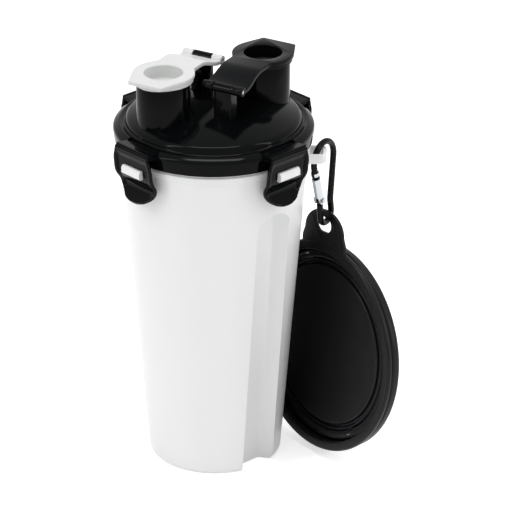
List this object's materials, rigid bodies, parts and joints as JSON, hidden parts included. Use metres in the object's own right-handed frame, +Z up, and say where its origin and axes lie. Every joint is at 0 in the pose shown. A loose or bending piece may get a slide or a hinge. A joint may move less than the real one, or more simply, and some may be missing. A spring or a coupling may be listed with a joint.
{
  "type": "dog travel water bottle",
  "caption": "Tapered two-chamber travel bottle for dogs with a black lid, flip-cap spouts, side clips, and a folding silicone bowl on a carabiner",
  "frame": {"origin": "centre of the flat base, on the axis of the bottle", "axes": "+Z up along the bottle's axis; the partition lies in the XZ plane, so the water chamber is at -Y and the food chamber at +Y; one clip faces along each of +X, +Y, -X and -Y"},
  "size_m": [0.1555, 0.1164, 0.2232],
  "materials": {
    "white_pp": "white polypropylene, slightly translucent",
    "black_pp": "gloss black polypropylene",
    "black_cap_pp": "satin black polypropylene",
    "black_silicone": "satin black silicone",
    "seal_silicone": "translucent silicone",
    "steel": "bright drawn steel",
    "gate_aluminium": "satin aluminium",
    "black_rod": "black anodised aluminium"
  },
  "bodies": {
    "bottle": {"bottle_body": "white_pp", "lid_shell": "black_pp", "lid_gasket": "seal_silicone", "water_cap_pin": "steel", "food_cap_pin": "steel"},
    "clip_right": {"clip_right": "black_pp"},
    "clip_back": {"clip_back": "black_pp"},
    "clip_left": {"clip_left": "black_pp"},
    "clip_front": {"clip_front": "black_pp"},
    "water_flip_cap": {"water_cap": "white_pp", "water_cap_seal": "seal_silicone"},
    "food_flip_cap": {"food_cap": "black_cap_pp", "food_cap_seal": "seal_silicone"},
    "carabiner": {"carabiner_frame": "black_rod", "carabiner_rivet": "steel"},
    "carabiner_gate": {"carabiner_gate": "gate_aluminium", "carabiner_spring": "steel"},
    "bowl": {"bowl_rim": "black_silicone"},
    "bowl_outer_fold": {"bowl_outer_fold": "black_silicone"},
    "bowl_inner_fold": {"bowl_inner_fold": "black_silicone"},
    "bowl_base": {"bowl_base": "black_silicone"}
  },
  "joints": [
    {"name": "clip_right_hinge", "type": "hinge", "parent": "bottle", "child": "clip_right", "pos_m": [0.057, 0, 0.1892], "axis": [0, -1, 0], "range_deg": [0, 105]},
    {"name": "clip_back_hinge", "type": "hinge", "parent": "bottle", "child": "clip_back", "pos_m": [0, 0.057, 0.1892], "axis": [1, 0, 0], "range_deg": [0, 105]},
    {"name": "clip_left_hinge", "type": "hinge", "parent": "bottle", "child": "clip_left", "pos_m": [-0.057, 0, 0.1892], "axis": [0, 1, 0], "range_deg": [0, 105]},
    {"name": "clip_front_hinge", "type": "hinge", "parent": "bottle", "child": "clip_front", "pos_m": [0, -0.057, 0.1892], "axis": [-1, 0, 0], "range_deg": [0, 105]},
    {"name": "food_cap_hinge", "type": "hinge", "parent": "bottle", "child": "food_flip_cap", "pos_m": [0.01939, -0.01067, 0.2175], "axis": [0.9558, 0.294, 0], "range_deg": [0, 115]},
    {"name": "water_cap_hinge", "type": "hinge", "parent": "bottle", "child": "water_flip_cap", "pos_m": [-0.01939, 0.01067, 0.2175], "axis": [-0.9558, -0.294, 0], "range_deg": [0, 115]},
    {"name": "carabiner_swing", "type": "hinge", "parent": "bottle", "child": "carabiner", "pos_m": [0.03563, 0.04528, 0.166], "axis": [0.9659, 0.2588, 0], "range_deg": [0, 80]},
    {"name": "carabiner_gate_hinge", "type": "hinge", "parent": "carabiner", "child": "carabiner_gate", "pos_m": [0.03665, 0.04148, 0.14417], "axis": [-0.9659, -0.2588, 0], "range_deg": [0, 24], "stiffness_Nm_per_rad": 0.01},
    {"name": "bowl_swing", "type": "hinge", "parent": "carabiner", "child": "bowl", "pos_m": [0.03515, 0.04775, 0.12907], "axis": [0.097, 0.9894, -0.108], "range_deg": [-25, 25]},
    {"name": "bowl_outer_unfold", "type": "slide", "parent": "bowl", "child": "bowl_outer_fold", "axis": [0.097, 0.9894, -0.108], "range_m": [0, 0.0048]},
    {"name": "bowl_inner_unfold", "type": "slide", "parent": "bowl_outer_fold", "child": "bowl_inner_fold", "axis": [0.097, 0.9894, -0.108], "range_m": [0, 0.0048]},
    {"name": "bowl_base_unfold", "type": "slide", "parent": "bowl_inner_fold", "child": "bowl_base", "axis": [0.097, 0.9894, -0.108], "range_m": [0, 0.0048]}
  ],
  "couplings": [
    {"joint": "bowl_inner_unfold", "follows": "bowl_outer_unfold", "ratio": 1},
    {"joint": "bowl_base_unfold", "follows": "bowl_outer_unfold", "ratio": 1}
  ]
}
